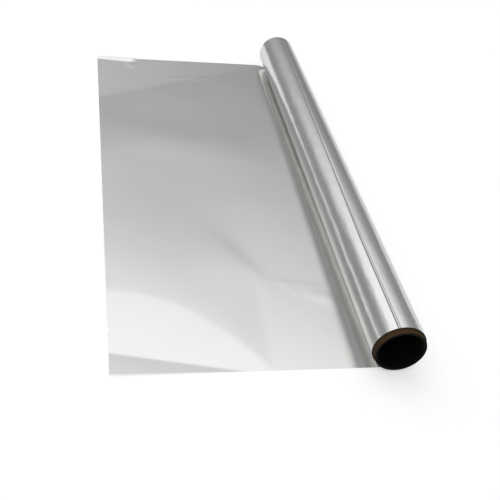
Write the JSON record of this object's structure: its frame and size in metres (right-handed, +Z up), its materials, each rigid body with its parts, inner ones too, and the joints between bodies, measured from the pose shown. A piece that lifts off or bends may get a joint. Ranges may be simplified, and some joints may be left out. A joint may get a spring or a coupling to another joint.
{
  "type": "aluminium foil roll",
  "caption": "Wide kitchen aluminium foil wound on a hollow board tube, lying with its free end drawn out as a flat sheet",
  "frame": {"origin": "middle of the outline's underside, on the table", "axes": "+Y along the roll's axis, away from the end where the tube stands out; -X towards the cut edge of the free sheet; +Z up"},
  "size_m": [0.2144, 0.454, 0.037],
  "materials": {
    "aluminium_foil": "bright outer side and satin inner side, lightly creased",
    "kraft_board": "matte dark brown spiral-wound board"
  },
  "bodies": {
    "root": {"foil": "aluminium_foil", "core_tube": "kraft_board"}
  },
  "joints": []
}
